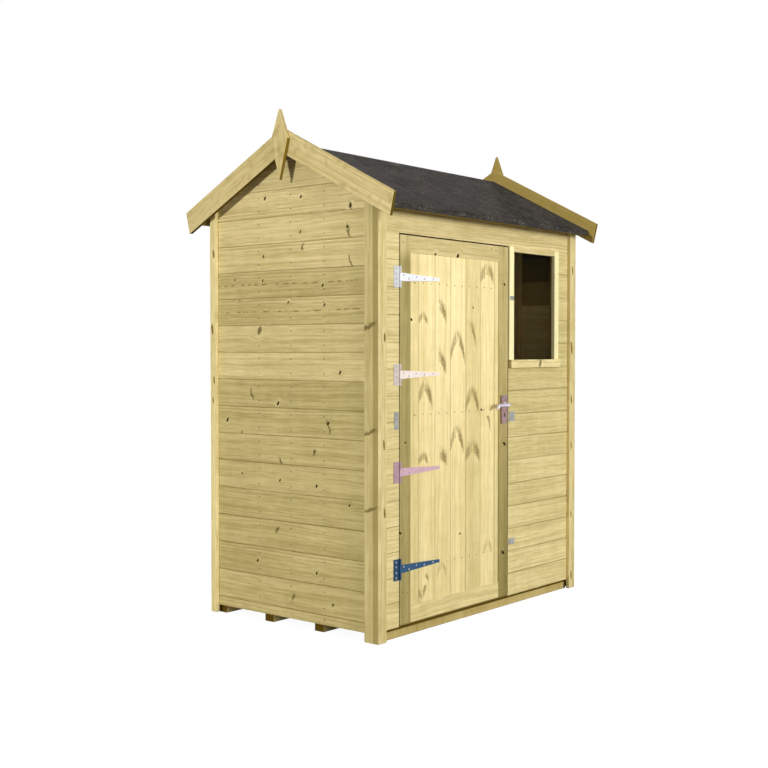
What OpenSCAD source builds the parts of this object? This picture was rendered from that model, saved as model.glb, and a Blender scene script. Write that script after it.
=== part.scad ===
// Small apex-roofed workshop shed with a single ledged door and one window.
// Origin: on the ground under the middle of the floor. +X runs right along the
// door wall, the door wall faces -Y, +Z is up. Millimetres.

/* [Shell] */
// Depth of the gables, outside of the door wall to outside of the back wall
shell_dep = 950; // [850:5:1150]
// Height of the frieze board over the doorway, up to the roof
frieze_h = 130; // [100:2:200]
// Thickness of the wall boards
board_t = 12; // [10:1:18]

/* [Floor] */
// Height of the floor bearers
bearer_h = 34; // [30:1:60]
// Width of the floor bearers
bearer_w = 50; // [35:1:60]
// Number of floor bearers
bearer_n = 4; // [3:1:5]
// Distance of the bearers from the door wall face and the gable faces
bearer_set_back = 15; // [13:1:40]
// Thickness of the floor deck
deck_t = 12; // [10:1:20]
// How far the gable and back boards hang down over the floor edge
skirt_drop = 11; // [0:1:12]

/* [Framing] */
// Depth of the studs, square to the wall
stud_d = 34; // [28:1:44]
// Width of the studs, along the wall
stud_w = 28; // [22:1:34]
// Distance between the middles of the gable studs
gable_stud_pitch = 188; // [150:2:240]
// Number of studs between the corners of the back wall
back_stud_n = 3; // [2:1:4]
// Height of the ridge beam below the roof
ridge_beam_h = 60; // [40:5:90]

/* [Door] */
// Width of the door leaf
door_w = 780; // [680:5:800]
// Height of the top edge of the door leaf above the ground
door_top = 1630; // [1560:2:1640]
// Distance from the left gable face to the doorway
door_from_left = 131; // [110:1:300]
// Gap at the two sides of the door leaf
door_side_gap = 6; // [5.5:0.5:10]
// Gap over the door leaf
door_top_gap = 6; // [6:1:14]
// Gap between the door leaf and the floor deck
door_foot_gap = 6; // [5.5:0.5:12]
// Width of the stiles and rails of the door
stile_w = 70; // [60:1:85]
// Thickness of the stiles and rails of the door
stile_t = 28; // [22:1:34]
// How far the panel boards lie behind the stiles
panel_recess = 3; // [0:0.5:6]
// Thickness of the panel boards
panel_t = 12; // [10:1:18]
// Width of the ledges across the back of the panel
ledge_w = 70; // [50:1:95]
// Thickness of the ledges
ledge_t = 22; // [18:1:28]
// Height of the middle of the lowest ledge
ledge_low = 270; // [200:5:330]
// Height of the middle of the middle ledge
ledge_mid = 900; // [800:5:1000]
// Height of the middle of the highest ledge
ledge_high = 1440; // [1360:5:1480]

/* [Hinges] */
// Number of strap hinges
hinge_n = 4; // [2:1:5]
// Height of the middle of the lowest hinge
hinge_low = 280; // [220:2:340]
// Height of the middle of the highest hinge
hinge_high = 1460; // [1300:2:1520]
// Height of a hinge plate
hinge_plate_h = 86; // [70:2:120]
// Width of a hinge plate
hinge_plate_w = 39; // [32:1:45]
// Thickness of the hinge steel
hinge_t = 2.5; // [2:0.5:3.5]
// Length of a hinge strap, from the pin to the tip
hinge_strap_len = 268; // [200:2:320]
// Width of a hinge strap at the pin
hinge_strap_root = 34; // [26:1:40]
// Width of a hinge strap at the tip
hinge_strap_tip = 13; // [10:1:20]
// Diameter of the hinge knuckles
knuckle_d = 9; // [8.5:0.5:10]
// Diameter of the hinge pin
pin_d = 5; // [4:0.5:5.5]
// Running clearance round the hinge pin
pin_clear = 0.1; // [0.05:0.05:0.3]
// Gap between neighbouring hinge knuckles
knuckle_gap = 0.5; // [0.3:0.1:1]
// Gap between the knuckles and the wall face
knuckle_stand_off = 0.5; // [0.3:0.1:1]

/* [Lock] */
// Width of the lock plate
lock_plate_w = 46; // [40:1:54]
// Height of the lock plate
lock_plate_h = 126; // [110:2:170]
// Thickness of the lock plate
lock_plate_t = 8; // [5:0.5:10]
// Corner radius of the lock plate
lock_plate_r = 6; // [2:0.5:10]
// Height of the middle of the lock plate
lock_h = 899; // [840:1:960]
// Height of the lever spindle over the middle of the lock plate
lever_rise = 22; // [10:1:34]
// Diameter of the lever bar
lever_d = 14; // [10:0.5:18]
// Diameter of the boss that turns in the lock plate
boss_d = 20; // [18:0.5:24]
// Running clearance round the boss
boss_clear = 0.4; // [0.3:0.1:0.8]
// Distance from the lock plate to the middle of the lever bar
lever_reach = 30; // [28:1:44]
// Length of the straight part of the lever bar
lever_len = 64; // [50:1:90]
// Bend radius where the neck turns into the bar
lever_bend_r = 12; // [10:1:16]
// Bend radius of the lever tip
lever_tip_r = 26; // [20:1:40]
// Angle through which the lever tip bends down
lever_tip_angle = 50; // [20:5:70]
// Diameter of the ball at the lever tip
lever_ball_d = 15.5; // [15:0.5:20]
// Length of the boss in front of the lock plate
boss_proud = 3; // [1:0.5:8]
// Diameter of the keyhole
keyhole_d = 10; // [7:0.5:12]
// Distance of the keyhole below the middle of the lock plate
keyhole_drop = 22; // [15:1:34]
// Width of the slot below the keyhole
keyhole_slot_w = 6; // [3:0.5:6.5]
// Length of the slot, from the middle of the keyhole down
keyhole_slot_len = 13; // [8:1:16]

/* [Window] */
// Distance from the window frame to the right gable face
window_to_gable = 123; // [90:1:300]
// Width of the glazed opening
window_w = 350; // [280:5:380]
// Height of the underside of the window sill
window_foot = 1085; // [1030:5:1200]
// Width of the two window jambs
jamb_w = 37; // [32:1:40]
// Height of the window head
head_h = 25; // [20:1:40]
// Height of the window sill
sill_h = 37; // [28:1:44]
// How far the window frame stands out of the wall
frame_proud = 6; // [2:1:12]
// How far the sill stands out of the wall
sill_proud = 18; // [10:1:30]
// Thickness of the window pane
pane_t = 4; // [3:0.5:6]
// Gap round the window pane
pane_gap = 1; // [0.5:0.5:3]

/* [Trim] */
// Width of the corner trims on the gables
trim_w = 73; // [60:1:90]
// Thickness of the corner trims on the gables
trim_t = 18; // [14:1:24]
// Width of the battens at the ends of the door wall and the rear of the gables
batten_w = 34; // [25:1:36]
// Thickness of the battens on the door wall
batten_t = 16; // [12:1:22]
// Height of the trim ends over the ground
trim_foot = 4; // [2:1:20]

/* [Small plates] */
// Thickness of the small steel plates on the door wall
plate_t = 2; // [1:0.5:4]
// Distance of the plates from the edge that they lie beside
plate_inset = 4; // [1:0.5:5]
// Width of the two plates on the wall on the lock side
lock_side_plate_w = 46; // [30:1:70]
// Height of the upper plate on the lock side
strike_plate_h = 44; // [30:1:80]
// Height of its lower edge over the ground
strike_plate_z = 842; // [780:2:940]
// Height of the lower plate on the lock side
low_plate_h = 28; // [20:1:60]
// Height of its lower edge over the ground
low_plate_z = 280; // [200:2:400]
// Height of the plate on the left window jamb
jamb_plate_h = 18; // [12:1:40]
// Height of its lower edge over the ground
jamb_plate_z = 1392; // [1300:2:1480]
// Width of the plate on the hinge side
hinge_side_plate_w = 28; // [20:1:40]
// Height of the plate on the hinge side
hinge_side_plate_h = 71; // [40:1:90]
// Height of its lower edge over the ground
hinge_side_plate_z = 846; // [800:2:880]

/* [Roof] */
// Roof pitch in degrees
pitch = 27.5; // [22:0.5:34]
// Overhang of the roof deck past the gable faces
verge = 32; // [24:1:60]
// Overhang of the roof deck past the door wall and the back wall
eaves = 70; // [60:1:110]
// Thickness of the roof deck
roof_t = 12; // [9:1:18]
// Gap between the roof deck and the walls, rails and trim under it
roof_seat = 0.2; // [0.1:0.1:0.5]
// Thickness of the roofing felt
felt_t = 3; // [2:0.5:5]
// Height of the eaves rails at their outer edge, over which the felt is folded down
eaves_rail_h = 9; // [6:1:40]
// Width of the eaves rails under the roof deck
eaves_rail_w = 34; // [25:1:44]
// Width of the barge boards
barge_w = 92; // [80:1:120]
// Thickness of the barge boards
barge_t = 18; // [14:1:24]
// How far the barge boards stand over the felt
barge_rise = 54; // [20:1:70]
// How far the barge boards run past the roof deck
barge_run = 50; // [20:1:80]
// How far the lower corner of a barge end is cut back
barge_cut = 22; // [0:1:40]

/* [Finial] */
// Width of the finials
finial_w = 92; // [70:1:120]
// Height of the finial tip over the widest part
finial_up = 124; // [80:2:160]
// Length of the finial below the widest part
finial_down = 168; // [120:2:220]
// Distance of the widest part below the apex of the barge boards
finial_drop = 49; // [20:1:70]
// Thickness of the finials
finial_t = 18; // [12:1:24]

/* [Hidden] */
$fn = 64;
wood = "#cfb97f";
pale_wood = "#e2cf97";
dark_wood = "#a8935a";
zinc = "#b9bcc4";

window_frame_w = window_w + 2 * jamb_w;
shell_len = door_from_left + door_w + 2 * door_side_gap + window_frame_w + window_to_gable;
way_top = door_top + door_top_gap;
eaves_h = way_top + frieze_h;
half_len = shell_len / 2;
half_dep = shell_dep / 2;
inner_len = half_len - board_t;
inner_dep = half_dep - board_t;
frame_len = inner_len - stud_d;
frame_dep = inner_dep - stud_d;
deck_top = bearer_h + deck_t;
skirt_foot = deck_top - skirt_drop;
slope = tan(pitch);
// Vertical measure of a layer lying on the roof slope
function upright(t) = t / cos(pitch);
// Height of the roof underside at a distance from the ridge line
function underside(s) = eaves_h + slope * (half_dep - s);
roof_edge = half_dep + eaves;
verge_end = half_len + verge;
layer_deck = upright(roof_t);
layer_felt = upright(felt_t);
// Height of the roof deck's upper face at a distance from the ridge line
function deck_face(s) = underside(s) + roof_seat + layer_deck;
felt_top = deck_face(0) + layer_felt;
barge_apex = felt_top + barge_rise;
barge_end = roof_edge + barge_run;
barge_deep = upright(barge_w);
eaves_rail_foot = underside(roof_edge) - eaves_rail_h;

door_left = -half_len + door_from_left + door_side_gap;
door_right = door_left + door_w;
door_foot = deck_top + door_foot_gap;
way_left = door_left - door_side_gap;
way_right = door_right + door_side_gap;
panel_face = -half_dep + panel_recess;
panel_back = panel_face + panel_t;
hinge_x = door_left - door_side_gap / 2;
hinge_y = -half_dep - knuckle_d / 2 - knuckle_stand_off;
hinge_pitch = (hinge_high - hinge_low) / (hinge_n - 1);
knuckle_h = (hinge_plate_h - 2 * knuckle_gap) / 3;

window_left = way_right;
pane_left = window_left + jamb_w;
pane_right = pane_left + window_w;
window_right = window_left + window_frame_w;
pane_foot = window_foot + sill_h;
lock_x = door_right - stile_w / 2;
lever_z = lock_h + lever_rise;
top_plate_foot = underside(inner_dep) - stud_w;
sole_top = deck_top + stud_w;
back_bay = 2 * frame_len / (back_stud_n + 1);
bearer_span = 2 * (half_dep - bearer_set_back) - bearer_w;

// Box between two corners
module block(a, b) { translate(a) cube(b - a); }

// Both sides of the middle plane between the gables
module both_ends() { for (m = [0, 1]) mirror([m, 0, 0]) children(); }

// Both sides of the middle plane under the ridge
module both_sides() { for (m = [0, 1]) mirror([0, m, 0]) children(); }

// Outline in Y and Z, extruded along X from one place to another
module along_x(x0, x1) {
    translate([x0, 0, 0]) rotate([90, 0, 90]) linear_extrude(x1 - x0) children();
}

// Floor

module floor_bearers() {
    reach = half_len - bearer_set_back;
    color(dark_wood)
        for (i = [0 : bearer_n - 1]) {
            y0 = -half_dep + bearer_set_back + i * bearer_span / (bearer_n - 1);
            block([-reach, y0, 0], [reach, y0 + bearer_w, bearer_h]);
        }
}

module floor_deck() {
    color(wood) block([-inner_len, -inner_dep, bearer_h], [inner_len, inner_dep, deck_top]);
}

// Walls

module gable_wall() {
    along_x(-half_len, -inner_len)
        polygon([[-half_dep, skirt_foot], [half_dep, skirt_foot], [half_dep, underside(half_dep)],
            [0, underside(0)], [-half_dep, underside(half_dep)]]);
}

module left_gable_wall() { color(wood) gable_wall(); }

module right_gable_wall() { color(wood) mirror([1, 0, 0]) gable_wall(); }

module back_wall() {
    color(wood) block([-inner_len, inner_dep, skirt_foot], [inner_len, half_dep, eaves_h]);
}

// Piece of the door wall between two places along it and two heights
module front_piece(x0, x1, z0, z1) {
    color(pale_wood) block([x0, -half_dep, z0], [x1, -inner_dep, z1]);
}

module front_wall_left() { front_piece(-inner_len, way_left, deck_top, way_top); }

module front_wall_right() { front_piece(way_right, inner_len, deck_top, window_foot); }

module front_wall_beside_window() { front_piece(window_right, inner_len, window_foot, way_top); }

module front_frieze() { front_piece(-inner_len, inner_len, way_top, eaves_h); }

// Framing

// Upright stud against a gable, its top cut to the roof slope or stopped at a height
module gable_stud(y0, y1, top) {
    cut = function(y) min(top, underside(abs(y)));
    along_x(-inner_len, -frame_len)
        polygon([[y0, sole_top], [y1, sole_top], [y1, cut(y1)], [y0, cut(y0)]]);
}

module gable_studs() {
    half = stud_w / 2;
    gable_stud(-half, half, underside(half) - ridge_beam_h);
    both_sides() {
        gable_stud(gable_stud_pitch - half, gable_stud_pitch + half, underside(0));
        gable_stud(inner_dep - stud_w, inner_dep, top_plate_foot);
    }
}

module left_gable_studs() { color(wood) gable_studs(); }

module right_gable_studs() { color(wood) mirror([1, 0, 0]) gable_studs(); }

module back_studs() {
    color(wood)
        for (i = [1 : back_stud_n]) {
            x = -frame_len + i * back_bay;
            block([x - stud_w / 2, frame_dep, sole_top], [x + stud_w / 2, inner_dep, top_plate_foot]);
        }
}

// Piece of framing behind the door wall
module front_frame_piece(x0, x1, z0, z1) {
    block([x0, -inner_dep, z0], [x1, -frame_dep, z1]);
}

module front_studs() {
    color(wood)
        for (x = [way_left - stud_w, way_right, window_right])
            front_frame_piece(x, x + stud_w, sole_top, top_plate_foot);
}

// Rails along the door wall and the back wall: on the floor, under the roof and round the window
module wall_rails() {
    color(wood) {
        block([-frame_len, frame_dep, deck_top], [frame_len, inner_dep, sole_top]);
        front_frame_piece(-frame_len, way_left, deck_top, sole_top);
        front_frame_piece(way_right, frame_len, deck_top, sole_top);
        for (z = [window_foot - stud_w, way_top])
            front_frame_piece(way_right + stud_w, window_right, z, z + stud_w);
        both_sides()
            block([-inner_len, frame_dep, top_plate_foot], [inner_len, inner_dep, underside(inner_dep)]);
    }
}

// Rails on the floor along the gables
module side_rails() {
    color(wood)
        both_ends() block([-inner_len, -inner_dep, deck_top], [-frame_len, inner_dep, sole_top]);
}

// Trim

// Upright strip on a gable face, its top cut to the roof slope
module gable_strip(y0, y1) {
    along_x(-half_len - trim_t, -half_len)
        polygon([[y0, trim_foot], [y1, trim_foot], [y1, underside(abs(y1))], [y0, underside(abs(y0))]]);
}

module corner_trims() {
    outer = -half_dep - batten_t;
    color(dark_wood) both_ends() gable_strip(outer, outer + trim_w);
}

// Battens at the ends of the door wall and at the rear of the gables
module corner_battens() {
    color(pale_wood)
        both_ends() {
            gable_strip(half_dep - batten_w, half_dep);
            block([-half_len, -half_dep - batten_t, trim_foot],
                [-half_len + batten_w, -half_dep, underside(half_dep + batten_t)]);
        }
}

// Roof

// Roof deck of one slope, on the door side
module roof_deck() {
    along_x(-verge_end, verge_end)
        polygon([[0, deck_face(0) - layer_deck], [-roof_edge, deck_face(roof_edge) - layer_deck],
            [-roof_edge, deck_face(roof_edge)], [0, deck_face(0)]]);
}

module roof_deck_front() { color(wood) roof_deck(); }

module roof_deck_back() { color(wood) mirror([0, 1, 0]) roof_deck(); }

// Felt over one slope, folded down over the edge of the roof deck and the eaves rail
module felt() {
    edge = roof_edge + felt_t;
    along_x(-verge_end, verge_end)
        polygon([[0, deck_face(0)], [-roof_edge, deck_face(roof_edge)], [-roof_edge, eaves_rail_foot],
            [-edge, eaves_rail_foot], [-edge, deck_face(edge) + layer_felt], [0, felt_top]]);
}

module felt_front() { color("#45423f") felt(); }

module felt_back() { color("#45423f") mirror([0, 1, 0]) felt(); }

module eaves_rails() {
    inner = roof_edge - eaves_rail_w;
    color(wood)
        both_sides()
            along_x(-verge_end, verge_end)
                polygon([[-roof_edge, eaves_rail_foot], [-inner, eaves_rail_foot],
                    [-inner, underside(inner)], [-roof_edge, underside(roof_edge)]]);
}

module ridge_beam() {
    half = stud_w / 2;
    foot = underside(half) - ridge_beam_h;
    color(wood)
        along_x(-inner_len, inner_len)
            polygon([[-half, foot], [half, foot], [half, underside(half)], [0, underside(0)],
                [-half, underside(half)]]);
}

// Barge board on the left end, door side
module barge() {
    low = barge_end - barge_cut;
    along_x(-verge_end - barge_t, -verge_end)
        polygon([[0, barge_apex], [0, barge_apex - barge_deep],
            [-low, barge_apex - barge_deep - slope * low], [-barge_end, barge_apex - slope * barge_end]]);
}

module left_barge_front() { color(pale_wood) barge(); }

module left_barge_back() { color(pale_wood) mirror([0, 1, 0]) barge(); }

module right_barge_front() { color(pale_wood) mirror([1, 0, 0]) barge(); }

module right_barge_back() { color(pale_wood) mirror([1, 0, 0]) mirror([0, 1, 0]) barge(); }

// Kite-shaped board over the joint of the barge boards
module finial() {
    wide = barge_apex - finial_drop;
    face = -verge_end - barge_t;
    along_x(face - finial_t, face)
        polygon([[0, wide + finial_up], [-finial_w / 2, wide], [0, wide - finial_down], [finial_w / 2, wide]]);
}

module left_finial() { color(wood) finial(); }

module right_finial() { color(wood) mirror([1, 0, 0]) finial(); }

// Window

// Member of the window frame, from its face to the back of the wall boards
module window_member(x0, x1, z0, z1, proud) {
    color(pale_wood) block([x0, -half_dep - proud, z0], [x1, -inner_dep, z1]);
}

module window_jamb_left() { window_member(window_left, pane_left, pane_foot, way_top, frame_proud); }

module window_jamb_right() { window_member(pane_right, window_right, pane_foot, way_top, frame_proud); }

module window_head() { window_member(pane_left, pane_right, way_top - head_h, way_top, frame_proud); }

module window_sill() { window_member(window_left, window_right, window_foot, pane_foot, sill_proud); }

module window_pane() {
    color("lightsteelblue", 0.4)
        block([window_left + stud_w + pane_gap, -inner_dep, window_foot + pane_gap],
            [window_right - pane_gap, -inner_dep + pane_t, way_top - pane_gap]);
}

// Door

// Piece of the door frame, its face level with the wall
module door_piece(x0, x1, z0, z1) {
    color(dark_wood) block([x0, -half_dep, z0], [x1, -half_dep + stile_t, z1]);
}

module door_stile_left() { door_piece(door_left, door_left + stile_w, door_foot, door_top); }

module door_stile_right() { door_piece(door_right - stile_w, door_right, door_foot, door_top); }

module door_rail(z) { door_piece(door_left + stile_w, door_right - stile_w, z, z + stile_w); }

module door_top_rail() { door_rail(door_top - stile_w); }

module door_bottom_rail() { door_rail(door_foot); }

module door_panel() {
    color(pale_wood)
        block([door_left + stile_w, panel_face, door_foot + stile_w],
            [door_right - stile_w, panel_back, door_top - stile_w]);
}

module door_ledges() {
    color(wood)
        for (z = [ledge_low, ledge_mid, ledge_high])
            block([door_left + stile_w, panel_back, z - ledge_w / 2],
                [door_right - stile_w, panel_back + ledge_t, z + ledge_w / 2]);
}

// Hinges

module at_hinges() {
    for (i = [0 : hinge_n - 1])
        translate([hinge_x, hinge_y, hinge_low + i * hinge_pitch])
            children();
}

// Flat steel leaf lying on the wall or door face, drawn from the pin in X and Z
module hinge_leaf() {
    back = -half_dep - hinge_y;
    translate([0, back, 0]) rotate([90, 0, 0]) linear_extrude(hinge_t) children();
}

module hinge_plates() {
    color(zinc)
        at_hinges() {
            hinge_leaf()
                for (z = [-hinge_plate_h / 2, knuckle_h / 2 + knuckle_gap])
                    translate([-hinge_plate_w, z]) square([hinge_plate_w, knuckle_h]);
            hinge_leaf()
                translate([-hinge_plate_w, -hinge_plate_h / 2])
                    square([hinge_plate_w - knuckle_d / 2 - knuckle_gap, hinge_plate_h]);
            for (z = [-hinge_plate_h / 2, knuckle_h / 2 + knuckle_gap])
                translate([0, 0, z]) cylinder(d = knuckle_d, h = knuckle_h);
            translate([0, 0, -hinge_plate_h / 2]) cylinder(d = pin_d, h = hinge_plate_h);
        }
}

module hinge_straps() {
    tip = hinge_strap_len - hinge_strap_tip / 2;
    color(zinc)
        at_hinges()
            difference() {
                union() {
                    hinge_leaf() {
                        translate([0, -knuckle_h / 2]) square([knuckle_d, knuckle_h]);
                        polygon([[knuckle_d, -hinge_strap_root / 2], [tip, -hinge_strap_tip / 2],
                            [tip, hinge_strap_tip / 2], [knuckle_d, hinge_strap_root / 2]]);
                        translate([tip, 0]) circle(d = hinge_strap_tip);
                    }
                    translate([0, 0, -knuckle_h / 2]) cylinder(d = knuckle_d, h = knuckle_h);
                }
                translate([0, 0, -hinge_plate_h / 2]) cylinder(d = pin_d + 2 * pin_clear, h = hinge_plate_h);
            }
}

// Lock

// Turn from the part frame to one whose Z points out of the door face
module out_of_door(x, z) { translate([x, -half_dep, z]) rotate([90, 0, 0]) children(); }

module lock_plate() {
    inset_w = lock_plate_w / 2 - lock_plate_r;
    inset_h = lock_plate_h / 2 - lock_plate_r;
    color("#b79f93")
        out_of_door(lock_x, lock_h)
            linear_extrude(lock_plate_t)
                difference() {
                    union() {
                        square([lock_plate_w, 2 * inset_h], center = true);
                        square([2 * inset_w, lock_plate_h], center = true);
                        for (x = [-inset_w, inset_w], z = [-inset_h, inset_h])
                            translate([x, z]) circle(lock_plate_r);
                    }
                    translate([0, lever_rise]) circle(d = boss_d + 2 * boss_clear);
                    translate([0, -keyhole_drop]) circle(d = keyhole_d);
                    translate([-keyhole_slot_w / 2, -keyhole_drop - keyhole_slot_len])
                        square([keyhole_slot_w, keyhole_slot_len]);
                }
}

module lever_handle() {
    neck = lever_reach + lock_plate_t - lever_bend_r;
    color(zinc)
        out_of_door(lock_x, lever_z) {
            cylinder(d = boss_d, h = lock_plate_t + boss_proud);
            cylinder(d = lever_d, h = neck);
            translate([-lever_bend_r, 0, neck])
                rotate([90, 0, 0]) rotate_extrude(angle = 90) translate([lever_bend_r, 0]) circle(d = lever_d);
            translate([-lever_bend_r, 0, neck + lever_bend_r]) {
                rotate([0, -90, 0]) cylinder(d = lever_d, h = lever_len);
                translate([-lever_len, -lever_tip_r, 0]) {
                    rotate([0, 0, 90]) rotate_extrude(angle = lever_tip_angle)
                        translate([lever_tip_r, 0]) circle(d = lever_d);
                    rotate([0, 0, 90 + lever_tip_angle]) translate([lever_tip_r, 0, 0]) sphere(d = lever_ball_d);
                }
            }
        }
}

// Small flat steel plate on the door wall or on something that stands out of it
module small_plate(x, w, z, h, proud) {
    face = -half_dep - proud;
    block([x, face - plate_t, z], [x + w, face, z + h]);
}

// Plates beside the doorway and on the window jamb
module small_plates() {
    lock_side = way_right + plate_inset;
    color(zinc) {
        small_plate(way_left - plate_inset - hinge_side_plate_w, hinge_side_plate_w,
            hinge_side_plate_z, hinge_side_plate_h, 0);
        small_plate(lock_side, lock_side_plate_w, strike_plate_z, strike_plate_h, 0);
        small_plate(lock_side, lock_side_plate_w, low_plate_z, low_plate_h, 0);
        small_plate(window_left + plate_inset, jamb_w - 2 * plate_inset, jamb_plate_z, jamb_plate_h,
            frame_proud);
    }
}

floor_bearers();
floor_deck();
left_gable_wall();
right_gable_wall();
back_wall();
front_wall_left();
front_wall_right();
front_wall_beside_window();
front_frieze();
left_gable_studs();
right_gable_studs();
back_studs();
front_studs();
wall_rails();
side_rails();
corner_trims();
corner_battens();
roof_deck_front();
roof_deck_back();
felt_front();
felt_back();
eaves_rails();
ridge_beam();
left_barge_front();
left_barge_back();
right_barge_front();
right_barge_back();
left_finial();
right_finial();
window_jamb_left();
window_jamb_right();
window_head();
window_sill();
window_pane();
door_stile_left();
door_stile_right();
door_top_rail();
door_bottom_rail();
door_panel();
door_ledges();
hinge_plates();
hinge_straps();
lock_plate();
lever_handle();
small_plates();
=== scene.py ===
"""Looks of the workshop shed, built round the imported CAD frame.

Walls, floor, roof deck and door panel are laid as real tongue and groove boards. The other timber pieces
are the CAD solids with worn arrises. Each carries its own grain coordinates, so that the procedural wood
runs along every board and the knots sit where they are placed. Nails, screws and clouts are joined meshes.
All lengths are metres in the frame of the CAD: +X along the door wall, the door wall faces -Y, and the ground
is at z = 0.
"""

import math
import random

import bmesh
import bpy
from mathutils import Matrix, Vector, noise


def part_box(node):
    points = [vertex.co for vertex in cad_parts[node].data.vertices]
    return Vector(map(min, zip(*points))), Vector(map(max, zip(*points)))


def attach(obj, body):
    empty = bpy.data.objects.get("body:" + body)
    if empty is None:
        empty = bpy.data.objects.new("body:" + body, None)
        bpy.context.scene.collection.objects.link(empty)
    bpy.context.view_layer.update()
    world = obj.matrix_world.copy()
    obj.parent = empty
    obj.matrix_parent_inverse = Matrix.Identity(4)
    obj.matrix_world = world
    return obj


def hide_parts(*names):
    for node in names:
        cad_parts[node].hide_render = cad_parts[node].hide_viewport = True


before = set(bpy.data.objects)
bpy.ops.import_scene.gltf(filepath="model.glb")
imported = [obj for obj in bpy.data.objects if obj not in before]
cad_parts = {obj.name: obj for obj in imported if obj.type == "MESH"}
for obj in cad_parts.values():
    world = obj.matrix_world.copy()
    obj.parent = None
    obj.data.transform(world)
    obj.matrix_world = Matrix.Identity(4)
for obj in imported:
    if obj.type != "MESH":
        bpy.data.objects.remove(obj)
scene = bpy.context.scene
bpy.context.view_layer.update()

X, Y, Z = Vector((1, 0, 0)), Vector((0, 1, 0)), Vector((0, 0, 1))

# Camera of the photograph
CAMERA_PLACE = (-4.346, -3.474, 1.166)
CAMERA_YAW = 50.57
CAMERA_DOWN = 1.63
CAMERA_LENS = 55.95
CAMERA_SENSOR = 36.0

# Board profile
SHOULDER = 0.0012
GAP = 0.0012
TONGUE = 0.005
TONGUE_FRONT = 0.0032
TONGUE_BACK = 0.0082
GROOVE_ROOM = 0.0005
LEAST_BOARD = 0.012
# Unevenness of a board's edges: stations, height, and waves along and across
STATION = 0.07
WOBBLE = 0.0006
WOBBLE_WAVES = (5, 40)
# Painted shade on the wall boards' inner faces, darker up under the roof: its values below the first and
# above the second of these heights
UNDER_ROOF = (1.28, 1.57)
INNER_SHADES = (-0.42, -1.75)
# Depth and height of the lower front arris of a board, and the painted highlight it takes, painted shade
# where below 0
PLAIN_NOSE = (0.003, 0.003, 1.0)
FRIEZE_NOSE = (0.003, 0.011, 0.6)
PANEL_NOSE = (0.003, 0.003, -0.25)
# Painted shade on the upper edge of a board that no other board follows
BARE_EDGE_SHADE = -1.3
# Painted shade on the faces in a board's joints and on its back
SHOULDER_SHADE = -0.35
EDGE_SHADE = -0.6
TONGUE_FRONT_SHADE = -0.7
TONGUE_SHADE = -0.8
BACK_SHADE = -0.5
# Spread of the boards' tones, and its share where the wall sets a tone
BOARD_TONES = 0.35
OWN_TONE_SHARE = 0.4
# How far each piece's grain is shifted at random: along, in from its face, across
GRAIN_SHIFTS = ((0, 40), (0.015, 0.06), (-0.07, 0.07))
# Heights of the left gable boards that show a broken dark line along their middle
PITH_HEIGHTS = (1.45, 1.34)

# Board courses: the topmost line, and the cover width at the top and at the foot
GABLE_COURSES = (1.728, 0.1127, 0.1233)
FRONT_COURSES = (1.528, 0.1105, 0.1009)
DECK_COVER = 0.098
DECK_LINES = 6
FLOOR_COVER = 0.118
FLOOR_LINES = 8
PANEL_FIRST_LINE = -0.469
PANEL_COVER = 0.11
PANEL_LINES = 6

ARRIS = 0.0016
# Painted light and shade on the front, back, sides, ends and underside of a piece, partly darker end grain:
# above 0 a painted highlight, below 0 painted shade toward the shade colour, below -1 darker than that
PLAIN_SHADES = (0.0, 0.0, -0.1, -0.3, -0.3)
INSIDE_SHADES = (-0.7, -0.7, -0.7, -0.8, -0.8)
BEARER_SHADES = (-1.3, -1.3, -0.1, -1.25, -1.3)
TRIM_SHADES = (0.0, 0.0, 0.9, -0.3, -0.3)
BATTEN_SHADES = (0.0, 0.0, 0.6, -0.3, -0.3)
NEAR_BARGE_SHADES = (0.0, -0.85, -0.3, -1.25, -1.5)
FAR_BARGE_SHADES = (-0.85, 0.0, -0.3, -1.25, -1.3)
NEAR_FINIAL_SHADES = (0.0, -0.85, -0.3, -1.2, -1.2)
FAR_FINIAL_SHADES = (-0.85, 0.0, -1.0, -1.0, -1.2)
# Parts of a face's normal by which it counts as front or back, arris, end or underside
FACING = 0.95
ARRIS_FACING = 0.2
END_FACING = 0.8
UNDERSIDE = -0.1
# Painted highlight, with some wear, on a piece's front arrises
ARRIS_LIGHT = 0.4
# Points nearer than this are one, and so are faces that meet at less than this angle
SAME_PLACE = 1e-6
FLAT_ANGLE = 0.01
NO_KNOT = (9.0, 9.0, 0.01)
NO_MARK = (0.0, 0.0, 0.0, 0.0)

# Marks in the wood: strength of the left and the right leg of a flame, then the steepness of the legs or,
# for a knot, the length of its stroke across the board, and the strength of the knot's eye
EYE = (0.0, 0.0, 0.0, 1.0)
SPIKE = (0.0, 0.0, 0.05, 1.0)
STROKE = (0.0, 0.0, 0.045, 0.0)
SLASH = (0.0, 0.0, -0.026, 0.0)
BRANCH = (0.0, 0.0, 0.062, 0.0)
BROWN_EYE = (0.0, 0.0, 0.0, 0.72)
TALL_ARCH = (0.8, 1.0, 1.9, 0.0)
ARCH = (0.75, 1.0, 1.5, 0.0)
LOW_ARCH = (0.75, 0.9, 0.9, 0.0)
FAINT_ARCH = (0.35, 0.45, 1.3, 0.0)
LEAF = (0.0, 1.0, 1.1, 0.0)
FLAT_LEAF = (0.0, 1.0, 0.5, 0.0)
STEEP_LEAF = (0.0, 0.9, 2.0, 0.0)
VEE = (-0.9, -0.9, 1.3, 0.0)

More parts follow.
